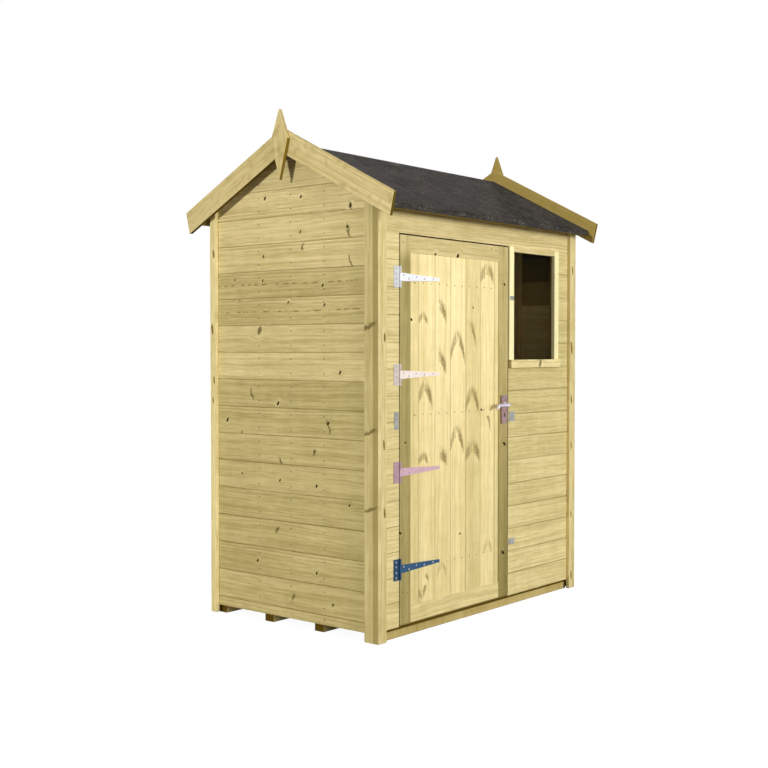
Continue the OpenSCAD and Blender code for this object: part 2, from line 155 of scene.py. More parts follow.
# Knots: place along the piece, place across it, size, mark. A knot without a mark is an EYE. On the left
# gable the place is (y, z), on the door panel (z, x).
GABLE_KNOTS = [
    (0.15, 1.81, 0.007), (-0.06, 1.8, 0.006), (-0.33, 1.745, 0.008, SPIKE),
    (-0.315, 1.66, 0.006, SPIKE), (-0.055, 1.655, 0.006), (-0.07, 1.6, 0.009, SLASH),
    (0.16, 1.565, 0.006), (-0.325, 1.535, 0.006, STROKE), (0.165, 1.46, 0.005),
    (0.335, 1.47, 0.005), (-0.18, 1.43, 0.006), (0.305, 1.38, 0.004),
    (0.015, 1.365, 0.006), (-0.19, 1.35, 0.006), (0.185, 1.25, 0.015, BROWN_EYE),
    (-0.275, 1.075, 0.007), (0.235, 0.99, 0.006, STROKE),
    (0.075, 0.94, 0.008), (0.385, 0.86, 0.008), (-0.21, 0.865, 0.007, SPIKE),
    (0.295, 0.81, 0.005), (-0.135, 0.75, 0.007, SLASH), (0.065, 0.7, 0.006, STROKE),
    (0.295, 0.63, 0.005), (0.065, 0.615, 0.006), (-0.145, 0.605, 0.006),
    (-0.325, 0.54, 0.005), (0.08, 0.41, 0.008, SLASH), (0.2, 0.26, 0.006),
    (-0.145, 0.245, 0.006), (-0.015, 0.135, 0.008, SLASH), (-0.235, 0.125, 0.006),
]
PANEL_KNOTS = [
    (1.29, -0.52, 0.007), (1.285, -0.442, 0.03, LOW_ARCH), (0.965, -0.43, 0.05, ARCH),
    (0.705, -0.44, 0.03, LOW_ARCH), (0.185, -0.452, 0.034, VEE), (0.215, -0.424, 0.018, LEAF),
    (1.312, -0.332, 0.05, LEAF), (1.097, -0.334, 0.05, LEAF), (0.695, -0.326, 0.048, FLAT_LEAF),
    (0.23, -0.311, 0.03, FAINT_ARCH), (1.16, -0.2, 0.053, TALL_ARCH), (0.765, -0.206, 0.05, ARCH),
    (0.375, -0.18, 0.005), (1.35, -0.085, 0.005), (1.225, -0.105, 0.04, STEEP_LEAF),
    (0.93, -0.092, 0.05, ARCH), (0.705, -0.088, 0.052, LOW_ARCH), (1.485, 0.022, 0.05, LOW_ARCH),
    (0.903, -0.02, 0.006), (0.86, -0.002, 0.05, STEEP_LEAF), (0.28, 0.03, 0.034, FAINT_ARCH),
]
# Knots of single pieces: place along the piece from its middle, place across, size, mark
PIECE_KNOTS = {
    "door_stile_left": [(-0.415, -0.03, 0.006), (-0.05, 0.0, 0.005), (-0.665, 0.012, 0.003)],
    "door_stile_right": [(0.62, 0.008, 0.007), (-0.098, 0.01, 0.01), (-0.59, 0.0, 0.01)],
    "door_top_rail": [(0.005, 0.031, 0.011), (-0.155, 0.034, 0.008), (0.26, -0.02, 0.003)],
    "window_sill": [(0.03, 0.0, 0.014, BROWN_EYE)],
}
# Knots of the pieces in a node of several, by the piece's place in order of x then y
TRIM_KNOTS = {
    ("corner_trims", 0): [
        (0.375, 0.004, 0.012, BRANCH), (-0.045, 0.008, 0.01, BRANCH), (-0.35, 0.012, 0.01, BRANCH),
    ],
    ("corner_battens", 0): [
        (0.7, 0.006, 0.006), (0.37, -0.004, 0.007), (0.145, 0.006, 0.005), (0.055, 0.0, 0.004),
    ],
    ("corner_battens", 1): [(0.335, 0.004, 0.006), (-0.09, 0.0, 0.006), (-0.36, 0.004, 0.006)],
    ("corner_battens", 2): [
        (0.67, 0.006, 0.006), (0.295, 0.0, 0.009), (0.045, 0.0, 0.006),
        (-0.18, 0.0, 0.005), (-0.515, 0.0, 0.005), (-0.815, 0.004, 0.006),
    ],
}
# Knots at random: place of the first, step to the next, size, distance from the edges, reach across
WILD_FIRST = (0.05, 0.9)
WILD_STEP = (0.35, 1.2)
WILD_SIZE = (0.003, 0.006)
WILD_EDGE = 0.02
WILD_ROOM = 0.001
WILD_REACH = 0.03

# Fixings, and the section of a head as (radius, height) in its own radii
NAIL_RADIUS = 0.0026
SCREW_RADIUS = 0.0036
CLOUT_RADIUS = 0.0042
HEAD_SIDES = 12
HEAD_SECTION = [(1.0, -0.4), (1.0, 0.12), (0.86, 0.3), (0.5, 0.4)]
RECESS_SECTION = [(0.42, 0.4), (0.3, 0.05)]


def linear(red, green, blue):
    """An sRGB colour, 0 to 255, as the linear colour that Blender's sockets take."""
    def channel(c):
        c /= 255
        return c / 12.92 if c <= 0.04045 else ((c + 0.055) / 1.055) ** 2.4
    return (channel(red), channel(green), channel(blue), 1.0)


# Materials


class Value:
    """An output of a node, to calculate with."""

    def __init__(self, nodes, socket):
        self.nodes, self.socket = nodes, socket

    def __add__(self, other):
        return self.nodes.math("ADD", self, other)

    def __sub__(self, other):
        return self.nodes.math("SUBTRACT", self, other)

    def __rsub__(self, other):
        return self.nodes.math("SUBTRACT", other, self)

    def __mul__(self, other):
        return self.nodes.math("MULTIPLY", self, other)

    def __truediv__(self, other):
        return self.nodes.math("DIVIDE", self, other)

    def __abs__(self):
        return self.nodes.math("ABSOLUTE", self)


class Nodes:
    """Short calls for building the node tree of a material or a world."""

    def __init__(self, owner):
        self.owner = owner
        owner.use_nodes = True
        self.tree = owner.node_tree
        self.tree.nodes.clear()

    def add(self, kind, inputs, out=0, **settings):
        """Adds a node, links or sets its inputs and returns one of its outputs."""
        node = self.tree.nodes.new("ShaderNode" + kind)
        for key, value in settings.items():
            setattr(node, key, value)
        for key, value in inputs.items():
            if isinstance(value, Value):
                self.tree.links.new(value.socket, node.inputs[key])
            else:
                node.inputs[key].default_value = value
        return Value(self, node.outputs[out]) if node.outputs else None

    def math(self, operation, a, b=0.0, clamp=False):
        return self.add("Math", {0: a, 1: b}, operation=operation, use_clamp=clamp)

    def attribute(self, name):
        return self.add("Attribute", {}, "Vector", attribute_name=name)

    def place(self):
        return self.add("TexCoord", {}, "Object")

    def ray(self, kind):
        return self.add("LightPath", {}, "Is " + kind + " Ray")

    def split(self, vector):
        parts = self.add("SeparateXYZ", {0: vector}).socket.node.outputs
        return [Value(self, part) for part in parts]

    def join(self, x, y, z):
        return self.add("CombineXYZ", {0: x, 1: y, 2: z})

    def length(self, vector):
        return self.add("VectorMath", {0: vector}, "Value", operation="LENGTH")

    def stretch(self, vector, scale):
        return self.add("VectorMath", {0: vector, 1: scale}, operation="MULTIPLY")

    def scale(self, colour, factor):
        return self.add("VectorMath", {0: colour, "Scale": factor}, operation="SCALE")

    def noise(self, vector, scale=1.0, detail=2.0, roughness=0.5):
        inputs = {"Vector": vector, "Scale": scale, "Detail": detail, "Roughness": roughness}
        return self.add("TexNoise", inputs)

    def rings(self, place, detail=1.0):
        return self.add("TexNoise", {"W": place, "Scale": 1.0, "Detail": detail}, noise_dimensions="1D")

    def ease(self, value, start, end):
        """0 at start, 1 at end, smooth between; start may be above end."""
        inputs = {"Value": value, "From Min": start, "From Max": end}
        return self.add("MapRange", inputs, interpolation_type="SMOOTHSTEP")

    def mix(self, factor, a, b):
        """Mixes two colours. One given as three numbers is sRGB, 0 to 255."""
        a, b = [linear(*c) if isinstance(c, tuple) and len(c) == 3 else c for c in (a, b)]
        return self.add("Mix", {0: factor, 6: a, 7: b}, 2, data_type="RGBA")

    def finish(self, colour, roughness, height, bump_depth, bump, **sockets):
        """A Principled surface. Sockets that are the same all over are set on it directly."""
        inputs = {"Base Color": colour, "Roughness": roughness}
        inputs.update({key.replace("_", " "): value for key, value in sockets.items()})
        inputs["Normal"] = self.add("Bump", {"Height": height, "Strength": bump, "Distance": bump_depth})
        surface = self.add("BsdfPrincipled", inputs)
        self.add("OutputMaterial", {"Surface": surface})
        return self.owner


# Noises that follow the grain: fineness along and across it, detail, roughness
WANDER_NOISE = (1.3, 4.0, 2.0)
BAND_NOISE = (1.1, 34.0, 3.0)
FIBRE_NOISE = (7.0, 320.0, 2.0)
STREAK_NOISE = (9.0, 120.0, 4.0, 0.7)
TORN_NOISE = (26.0, 110.0, 3.0)
SMUDGE_NOISE = (16.0, 5.0, 3.0, 0.6)
RINGS_PER_METRE = 130.0
WANDER = 0.035
PITH_DEPTH = 0.09
KNOT_SPREAD = 0.8
# Where the figure turns from the dark colour to the pale one
FIGURE_RANGE = (0.39, 0.6)
# Distances from a knot, in its own sizes, where bent grain, halo and core start and are full
KNOT_BEND = (5.0, 0.6)
KNOT_HALO = (3.0, 1.6)
KNOT_CORE = (1.25, 0.7)
KNOT_RAG = 0.9
HALO_LIGHT = 10
# A flame's edges, sides and top, and a stroke's edge, in their own sizes
FLAME_INSIDE = (-0.12, 0.03)
FLAME_OUTSIDE = (1.45, 0.1)
FLAME_SIDES = (1.2, 0.8)
FLAME_TOP = (0.55, 0.05)
STROKE_EDGE = (1.2, 0.15)
STROKE_SLANT = 0.32
PITH_LINE = (0.0045, 0.0012)
HEART_EDGE = 0.01
# Light of a board: the least, and what tone, patches, smudges and a painted highlight on an edge add
LEAST_LIGHT = 0.77
TONE_LIGHT = 0.22
PATCH_LIGHT = 0.26
SMUDGE_LIGHT = 0.2
LIT_EDGE = 0.26
# Timber materials by kind of wood
WOODS = {}


def wood(name, pale, dark, knot=(58, 42, 6), flame=(116, 92, 28), shade=(104, 82, 12),
         eye=(1.25, 0.8, 0.35), heart=None, foot_darkening=None, mottle=0.0):
    """Puts a softwood in WOODS, with growth rings, fibres, knots and flames, and painted light and shade by
    face.

    eye is the stretch of a knot along and across the grain and its slant. heart is (colour, start, end) of
    a dark band, as places across. The darkening toward the foot is given as (foot height, head height, light
    at the foot). mottle is how cloudy the wood is.
    """
    n = Nodes(bpy.data.materials.new(name))
    grain = n.attribute("grain")
    along, across, depth = n.split(grain)
    knot_along, knot_across, knot_size = n.split(n.attribute("knot"))
    left_leg, right_leg, third = n.split(n.attribute("mark"))
    tone, joint, is_eye = n.split(n.attribute("look"))
    place_across, has_pith, _ = n.split(n.attribute("place"))

    def grain_noise(along_scale, across_scale, detail, roughness=0.5):
        """Noise at the place across as it is when called: bent, once the knots have bent it."""
        place = n.join(along * along_scale, across * across_scale, depth)
        return n.noise(place, 1.0, detail, roughness)

    # A knot's distance in its own sizes
    slanted = knot_along + knot_across * eye[2]
    eye_plane = n.join(slanted * eye[0], knot_across * eye[1], 0.0)
    ragged = n.noise(grain, 150.0, 2.0) * KNOT_RAG
    uneven = ragged - KNOT_RAG / 2
    from_eye = n.length(eye_plane) / knot_size + uneven
    near = n.ease(from_eye, *KNOT_BEND) * is_eye

    # Growth rings about a pith that wanders along the board, spread by the knots
    wander = (grain_noise(*WANDER_NOISE) - 0.5) * WANDER
    across = across - knot_across * near * KNOT_SPREAD + wander
    pith = n.noise(n.join(along * 0.6, 3.1, 0.0), 1.0, 1.0) * PITH_DEPTH
    rings = n.rings(n.length(n.join(across, depth + pith, 0.0)) * RINGS_PER_METRE)
    bands = grain_noise(*BAND_NOISE)
    fibre = grain_noise(*FIBRE_NOISE)
    streak = grain_noise(*STREAK_NOISE)
    figure_shade = n.ease(rings * 0.22 + bands * 0.3 + streak * 0.36 + fibre * 0.12, *FIGURE_RANGE)
    colour = n.mix(figure_shade, dark, pale)

    # Heartwood band and cloudy patches
    if heart:
        heart_colour, start, end = heart
        wavy = place_across + wander * 0.15
        band = n.ease(wavy, start, start + HEART_EDGE) * n.ease(place_across, end + 0.001, end)
        colour = n.mix(band * 0.85, colour, heart_colour)
    cloud = n.ease(n.noise(grain, 22.0, 3.0, 0.6), 0.5, 0.72)
    colour = n.mix(cloud * mottle, colour, flame)

    # Pith: a broken dark line along the middle of the board
    off_pith = abs(place_across + wander * 0.5)
    dash = n.ease(n.rings(along * 24.0, 3.0), 0.44, 0.62)
    colour = n.mix(n.ease(off_pith, *PITH_LINE) * has_pith * dash * 0.7, colour, flame)

    # Flames: an arch of late wood, dark and sharp inside, fading outside, broken up at its top
    leg_sum = left_leg + right_leg
    rise = knot_along * n.math("SIGN", leg_sum) / knot_size
    reach = abs(knot_across) / knot_size
    arch = (0.5 - n.math("POWER", reach, 1.4)) * third
    torn = grain_noise(*TORN_NOISE)
    over = rise - arch + (torn - 0.5) * 0.9
    top = n.ease(reach, *FLAME_TOP)
    broken = 1.0 - top * n.ease(torn, 0.58, 0.4)
    growth = n.ease(n.rings(over * 4.5, 2.0), 0.66, 0.36)
    is_right = n.math("GREATER_THAN", knot_across, 0.0)
    strength = abs(left_leg + is_right * (right_leg - left_leg))
    arch_mask = n.ease(over, *FLAME_INSIDE) * n.ease(over, *FLAME_OUTSIDE) * n.ease(reach, *FLAME_SIDES)
    arch_mask = arch_mask * broken * (1.0 - top * 0.3) * (growth * 0.75 + 0.5) * strength
    colour = n.mix(arch_mask, colour, flame)

    # Strokes: branch wood cut lengthwise, a slanting line across the board, as thick as its knot is wide
    length = abs(third)
    bent = (n.noise(grain, 45.0, 2.0) - 0.5) * 0.03
    line = knot_across * n.math("SIGN", third) * STROKE_SLANT + bent
    off_line = abs(knot_along - line) / knot_size + uneven * 0.9
    stroke = n.ease(off_line, *STROKE_EDGE) * n.ease(length, 0.001, 0.01)
    stroke = stroke * n.ease(knot_across, length * -1.0, length * -0.6)
    stroke = stroke * n.ease(knot_across, length * 0.5, 0.0) * n.ease(abs(leg_sum), 0.1, 0.0)
    colour = n.mix(stroke * 0.75, colour, knot)

    # Eyes: speckled pale halo, dark core
    halo = n.ease(from_eye, *KNOT_HALO) * is_eye * n.ease(ragged, 0.44, 0.52)
    colour = n.mix(halo * 0.3, colour, tuple(min(255, c + HALO_LIGHT) for c in pale))
    core = n.ease(from_eye, *KNOT_CORE) * is_eye
    colour = n.mix(core, colour, knot)

    # Tone of the board, weathering in large patches, darker toward the foot where given, then painted
    # highlights and painted shade on edges, in joints and on inner faces
    patch = n.noise(grain, 3.0, 3.0)
    smudge = grain_noise(*SMUDGE_NOISE)
    light = tone * TONE_LIGHT + patch * PATCH_LIGHT + smudge * SMUDGE_LIGHT + LEAST_LIGHT
    if foot_darkening:
        foot, head, foot_light = foot_darkening
        inputs = {"Value": n.split(n.place())[2], "From Min": foot, "From Max": head, "To Min": foot_light}
        light = light * n.add("MapRange", inputs)
    light = light * (n.math("MAXIMUM", joint, 0.0) * LIT_EDGE + 1.0)
    colour = n.stretch(colour, n.join(light, light, n.math("POWER", light, 1.4)))
    shaded = n.math("MULTIPLY", n.math("MINIMUM", joint, 0.0), -0.92, clamp=True)
    colour = n.mix(shaded, colour, shade)
    colour = n.scale(colour, n.math("MINIMUM", joint + 1.0, 0.0) + 1.0)

    height = rings * 0.5 + fibre - core
    WOODS[name] = n.finish(colour, figure_shade * 0.16 + 0.62, height, 0.0006, 0.4, Specular_IOR_Level=0.08)


def felt_material():
    """Mineral roofing felt: stone granules over bitumen, with worn and dusty patches."""
    n = Nodes(bpy.data.materials.new("mineral_felt"))
    place = n.place()
    granules = {"Vector": place, "Scale": 420.0}
    grey = n.split(n.add("TexVoronoi", granules, "Color"))[0]
    patch = n.noise(place, 7.0, 5.0, 0.65)
    dusty = n.noise(n.stretch(place, (26.0, 80.0, 80.0)), 1.0, 4.0, 0.7)
    colour = n.mix(n.ease(grey, 0.05, 0.95), (43, 39, 34), (78, 73, 66))
    colour = n.mix(n.ease(grey, 0.975, 0.99), colour, (150, 148, 146))
    worn = n.ease(patch, 0.3, 0.7) + n.ease(dusty, 0.34, 0.66) * 1.2
    colour = n.scale(colour, worn * 0.66 + 0.16)
    height = n.add("TexVoronoi", granules, "Distance")
    return n.finish(colour, patch * 0.15 + 0.8, height, 0.0012, 0.6, Specular_IOR_Level=0.2)


# Zinc's tint at the ground, then the heights from which and at which each next tint holds
ZINC_FOOT = (40, 80, 118)
ZINC_TINTS = (
    (0.35, 0.6, (212, 174, 188)), (0.78, 1.02, (250, 236, 226)), (1.16, 1.38, (250, 252, 255)),
)


def zinc_material(name, light):
    """Bright zinc whose passivation runs from blue at the bottom hinge over pink to white at the top one."""
    n = Nodes(bpy.data.materials.new(name))
    place = n.place()
    cloud = n.noise(place, 45.0, 3.0)
    level = n.split(place)[2] + (cloud - 0.5) * 0.05
    colour = ZINC_FOOT
    for start, end, tint in ZINC_TINTS:
        colour = n.mix(n.ease(level, start, end), colour, tint)
    colour = n.scale(colour, (cloud * 0.28 + 0.86) * light)
    spangle = n.noise(place, 260.0, 2.0)
    roughness = spangle * 0.2 + 0.36
    return n.finish(colour, roughness, spangle, 0.0002, 0.3, Metallic=0.1, Specular_IOR_Level=0.3)


def metal(name, bright, dull, brush, metallic, base_roughness):
    """Satin metal with a faint cloud of handling marks. brush is how fine its marks are along each axis."""
    n = Nodes(bpy.data.materials.new(name))
    place = n.place()
    brushed = n.noise(n.stretch(place, brush), 1.0, 2.0)
    cloud = n.noise(place, 60.0, 3.0)
    colour = n.mix(n.ease(cloud, 0.3, 0.7), dull, bright)
    return n.finish(colour, cloud * 0.15 + base_roughness, brushed, 0.0002, 0.3, Metallic=metallic)


def glass_material():
    """Clear pane with faint waves in its surface."""
    n = Nodes(bpy.data.materials.new("clear_pane"))
    waves = n.noise(n.place(), 6.0, 1.0)
    colour = n.mix(waves, (244, 238, 224), (252, 247, 236))
    return n.finish(colour, 0.02, waves, 0.0004, 0.15, Transmission_Weight=1.0, IOR=1.05)


# Pieces


def new_object(data):
    """A new object in the scene, named as its data."""
    item = bpy.data.objects.new(data.name, data)
    scene.collection.objects.link(item)
    return item


def corners_of(node):
    """Corners of a CAD node."""
    return [v.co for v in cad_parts[node].data.vertices]


def add_piece(mesh, material, slot, body, *nodes):
    """Makes a mesh one piece: it rides a body and stands for the CAD nodes named. The slot is not used."""
    mesh.materials.append(material)
    piece = new_object(mesh)
    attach(piece, body)
    if nodes:
        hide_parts(*nodes)


def mesh_of(bm, name):
    """A bmesh as a mesh."""
    mesh = bpy.data.meshes.new(name)
    bm.to_mesh(mesh)
    bm.free()
    return mesh


def span_of(places):
    """Lowest and highest corner round a list of points."""
    low = Vector(min(p[i] for p in places) for i in range(3))
    high = Vector(max(p[i] for p in places) for i in range(3))
    return low, high


def round_edges(bm, edges, offset):
    """Rounds edges as wear does."""
    bmesh.ops.bevel(
        bm, geom=edges, offset=offset, segments=2, profile=0.6, affect="EDGES", clamp_overlap=True
    )


# Timber


class Timber:
    """Collects closed timber pieces with their grain, then makes one object of them."""

    def __init__(self, name):
        self.name = name
        self.chance = random.Random(name)
        self.points, self.faces = [], []
        self.corner_values = {"grain": [], "knot": [], "mark": [], "look": [], "place": []}

    def take(self, bm, axes, middle, tone, knots, pith=0.0):
        """Takes over the faces of bm. axes gives grain space: x along, y out and z across the grain."""
        to_grain = axes.inverted()
        joint_layer = bm.faces.layers.float.get("joint")
        shift = Vector([self.chance.uniform(*reach) for reach in GRAIN_SHIFTS])
        first = len(self.points)
        bm.verts.index_update()
        self.points.extend(v.co.copy() for v in bm.verts)
        values = self.corner_values
        for face in bm.faces:
            self.faces.append([first + v.index for v in face.verts])
            knot = nearest_knot(knots, to_grain @ face.calc_center_median())
            mark = (*knot, EYE)[3] if knot else NO_MARK
            joint = face[joint_layer] if joint_layer else 0.0
            for v in face.verts:
                at = to_grain @ v.co
                values["grain"].append((at.x + shift.x, at.z - middle + shift.z, at.y - shift.y))
                values["knot"].append((at.x - knot[0], at.z - knot[1], knot[2]) if knot else NO_KNOT)
                values["mark"].append(mark[:3])
                values["look"].append((tone, joint, mark[3]))
                values["place"].append((at.z - middle, pith, 0.0))
        bm.free()

    def make(self, material, slot, body, *nodes):
        mesh = bpy.data.meshes.new(self.name)
        mesh.from_pydata(self.points, [], self.faces)
        for name, values in self.corner_values.items():
            layer = mesh.attributes.new(name, "FLOAT_VECTOR", "CORNER")
            layer.data.foreach_set("vector", [c for value in values for c in value])
        add_piece(mesh, material, slot, body, *nodes)


def nearest_knot(knots, centre):
    """The knot of the list that is nearest to a face's centre, or None."""
    if not knots:
        return None
    return min(knots, key=lambda k: abs(k[0] - centre.x) + abs(k[1] - centre.z))


def axes_of(out, across, face=0.0):
    """Grain space of a surface: x along the grain, y out of the surface, z across the grain."""
    along = out.cross(across)
    axes = Matrix((along, out, across)).transposed().to_4x4()
    axes.translation = out * face
    return axes


def extent(node, axes):
    """Lowest and highest corner of a CAD node in grain space."""
    back = axes.inverted()
    return span_of([back @ corner for corner in corners_of(node)])


def cut(bm, place, normal, fill=True):
    """Cuts bm at a plane. With fill, what lies beyond it goes and the cut is closed."""
    geometry = bm.verts[:] + bm.edges[:] + bm.faces[:]
    made = bmesh.ops.bisect_plane(
        bm, geom=geometry, plane_co=place, plane_no=normal, clear_outer=fill, dist=SAME_PLACE
    )
    if fill:
        edges = [e for e in made["geom_cut"] if isinstance(e, bmesh.types.BMEdge)]
        if edges:
            bmesh.ops.holes_fill(bm, edges=edges, sides=0)


def board_profile(height, thickness, tongue, groove, edge, inner):
    """(out, across, painted light and shade) points of a board's section, for the face that starts at each.
    """
    top = height - GAP if tongue else height
    nose_depth, nose_height, nose_light = edge
    points = [
        (-nose_depth, 0.0, nose_light), (0.0, nose_height, 0.0),
        (0.0, top - SHOULDER, SHOULDER_SHADE),
        (-SHOULDER, top, EDGE_SHADE if tongue else BARE_EDGE_SHADE),
    ]
    if tongue:
        points += [
            (-TONGUE_FRONT, top, TONGUE_FRONT_SHADE), (-TONGUE_FRONT, height + TONGUE, TONGUE_SHADE),
            (-TONGUE_BACK, height + TONGUE, TONGUE_SHADE), (-TONGUE_BACK, top, BACK_SHADE),
        ]
    points += [(-thickness, top, inner), (-thickness, 0.0, BACK_SHADE)]
    if groove:
        back, front, deep = -TONGUE_BACK - GROOVE_ROOM, -TONGUE_FRONT + GROOVE_ROOM, TONGUE + GROOVE_ROOM
        points += [
            (back, 0.0, TONGUE_SHADE), (back, deep, TONGUE_SHADE),
            (front, deep, TONGUE_SHADE), (front, 0.0, EDGE_SHADE),
        ]
    return points


def board(start, end, low, high, thickness, tongue, groove, edge, inner, seed):
    """One board in grain space, as a closed mesh with slightly uneven edges."""
    bm = bmesh.new()
    joint_layer = bm.faces.layers.float.new("joint")
    profile = board_profile(high - low, thickness, tongue, groove, edge, inner)
    stations = max(1, round((end - start) / STATION))
    rings = []
    for i in range(stations + 1):
        along = start + (end - start) * i / stations
        ring = []
        for out, across, joint in profile:
            drift = WOBBLE * noise.noise((along * WOBBLE_WAVES[0], seed, across * WOBBLE_WAVES[1]))
            ring.append(bm.verts.new((along, out, low + across + drift)))
        rings.append(ring)
    count = len(profile)
    for a, b in zip(rings, rings[1:]):
        for k in range(count):
            face = bm.faces.new((a[k], a[(k + 1) % count], b[(k + 1) % count], b[k]))
            face[joint_layer] = profile[k][2]
    bm.faces.new(reversed(rings[0]))
    bm.faces.new(rings[-1])
    bmesh.ops.recalc_face_normals(bm, faces=bm.faces[:])
    return bm


def inner_shade(height):
    """Painted shade on a board's inner face: darker up under the roof."""
    rise = (height - UNDER_ROOF[0]) / (UNDER_ROOF[1] - UNDER_ROOF[0])
    return INNER_SHADES[0] + (INNER_SHADES[1] - INNER_SHADES[0]) * min(1.0, max(0.0, rise))


def board_edges(lines, low, high):
    """Edges of the boards between low and high, without lines that would leave a sliver."""
    inside = [line for line in sorted(lines) if low + LEAST_BOARD < line < high - LEAST_BOARD]
    return [low] + inside + [high]


def lay_boards(node, out, across, lines, kind, body="shed", slot=None, knots=(), wild=True, tone_at=None,
               clips=(), edge=PLAIN_NOSE, pith_at=()):
    """Lays boards of a kind of wood over a CAD node's slab, and lets them stand for the node.

    One board lies between each two lines. The slot is the kind of wood where none is given.
    """
    axes = axes_of(out, across)
    low, high = extent(node, axes)
    axes = axes_of(out, across, high.y)
    edges = board_edges(lines, low.z, high.z)
    timber = Timber(node.replace("_wall", "") + "_boards")
    for i, (foot, head) in enumerate(zip(edges, edges[1:])):
        seed = timber.chance.uniform(0, 100)
        inner = inner_shade(foot) if across == Z else 0.0
        bm = board(low.x, high.x, foot, head, high.y - low.y, i < len(edges) - 2, i > 0, edge, inner, seed)
        bm.transform(axes)
        for place, normal in clips:
            cut(bm, place, normal)
        here = [k for k in knots if foot <= k[1] < head]
        here += wild_knots(timber.chance, low.x, high.x, foot, head) if wild else []
        tone = timber.chance.uniform(-BOARD_TONES, BOARD_TONES)
        if tone_at:
            tone = tone_at((foot + head) / 2) + OWN_TONE_SHARE * tone
        pith = 1.0 if any(foot <= z < head for z in pith_at) else 0.0
        timber.take(bm, axes, (foot + head) / 2, tone, here, pith)
    timber.make(WOODS[kind], slot or kind, body, node)


def wild_knots(chance, start, end, low, high):
    """A few small knots at random on a board that the photograph doesn't show."""
    found = []
    lowest = low + WILD_EDGE
    at = start + chance.uniform(*WILD_FIRST)
    while at < end:
        size = chance.uniform(*WILD_SIZE)
        across = chance.uniform(lowest, max(lowest + WILD_ROOM, high - WILD_EDGE))
        found.append((at, across, size))
        at += chance.uniform(*WILD_STEP)
    return found


def courses(top_line, top_cover, foot_cover, foot, head):
    """Board lines from head to foot, with the cover width changing evenly from the top line down."""
    lines = []
    line = top_line
    while line < head:
        lines.append(line)
        line += top_cover
    count = round((top_line - foot) / ((top_cover + foot_cover) / 2))
    line = top_line
    for i in range(count):
        line -= top_cover + (foot_cover - top_cover) * i / (count - 1)
        lines.append(line)
    return lines


def islands(node):
    """Loose solids of a CAD node, each a bmesh with its flat faces whole, in order of x, y and z."""
    whole = bmesh.new()
    whole.from_mesh(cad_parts[node].data)
    bmesh.ops.remove_doubles(whole, verts=whole.verts[:], dist=SAME_PLACE)
    left = set(whole.faces)
    found = []
    while left:
        edge = [left.pop()]
        group = list(edge)
        while edge:
            for side in edge.pop().edges:
                for face in side.link_faces:
                    if face in left:
                        left.remove(face)
                        edge.append(face)
                        group.append(face)
        solid = bmesh.new()
        used = {v for face in group for v in face.verts}
        corners = {v: solid.verts.new(v.co) for v in sorted(used, key=lambda v: v.index)}
        for face in group:
            solid.faces.new([corners[v] for v in face.verts])
        bmesh.ops.recalc_face_normals(solid, faces=solid.faces[:])
        bmesh.ops.dissolve_limit(
            solid, angle_limit=FLAT_ANGLE, verts=solid.verts[:], edges=solid.edges[:]
        )
        found.append(solid)
    whole.free()
    return sorted(found, key=lambda s: [round(min(v.co[i] for v in s.verts), 4) for i in range(3)])


def grain_axes(solid, along):
    """Grain space of a solid: along its longest edge, out of its largest face that runs with the grain."""
    if along is None:
        longest = max(solid.edges, key=lambda e: round(e.calc_length(), 5))
        along = (longest.verts[1].co - longest.verts[0].co).normalized()
        if along[max(range(3), key=lambda i: abs(along[i]))] < 0:
            along = -along
    faces = [f for f in solid.faces if abs(f.normal.dot(along)) < 0.1]
    widest = max(faces, key=lambda f: (round(f.calc_area(), 5), -f.normal.x - f.normal.y))
    out = widest.normal.copy()
    axes = axes_of(out, along.cross(out))
    axes.translation = sum((v.co for v in solid.verts), Vector()) / len(solid.verts)
    return axes


def shade_faces(solid, axes, shades):
    """Paints light and shade on each face: a painted highlight on worn front arrises, the rest as given."""
    along, out = axes.col[0].to_3d(), axes.col[1].to_3d()
    front, back, sides, ends, under = shades
    joint_layer = solid.faces.layers.float.new("joint")
    for face in solid.faces:
        facing = face.normal.dot(out)
        if facing > FACING:
            joint = front
        elif facing > ARRIS_FACING:
            joint = front + ARRIS_LIGHT
        elif facing < -FACING:
            joint = back
        elif face.normal.z < UNDERSIDE:
            joint = under
        else:
            joint = ends if abs(face.normal.dot(along)) > END_FACING else sides
        face[joint_layer] = joint


def dress(node, kind, body="shed", slot=None, along=None, tone=0.0, tones=0.3, shades=PLAIN_SHADES,
          wild=False):
    """The CAD solids of a timber node with worn arrises and their own grain. They stand for the node."""
    timber = Timber(node + "_timber")
    for number, solid in enumerate(islands(node)):
        axes = grain_axes(solid, along)
        back = axes.inverted()
        reach = [(back @ v.co).x for v in solid.verts]
        round_edges(solid, solid.edges[:], ARRIS)
        solid.normal_update()
        shade_faces(solid, axes, shades)
        knots = PIECE_KNOTS.get(node) or TRIM_KNOTS.get((node, number)) or []
        if wild:
            knots = wild_knots(timber.chance, min(reach), max(reach), -WILD_REACH, WILD_REACH)
        knots = sorted(knots)
        for a, b in zip(knots, knots[1:]):
            cut(solid, axes @ Vector(((a[0] + b[0]) / 2, 0, 0)), axes.col[0].to_3d(), fill=False)
        timber.take(solid, axes, 0.0, tone + timber.chance.uniform(-tones, tones), knots)
    timber.make(WOODS[kind], slot or kind, body, node)


# Heads of fixings


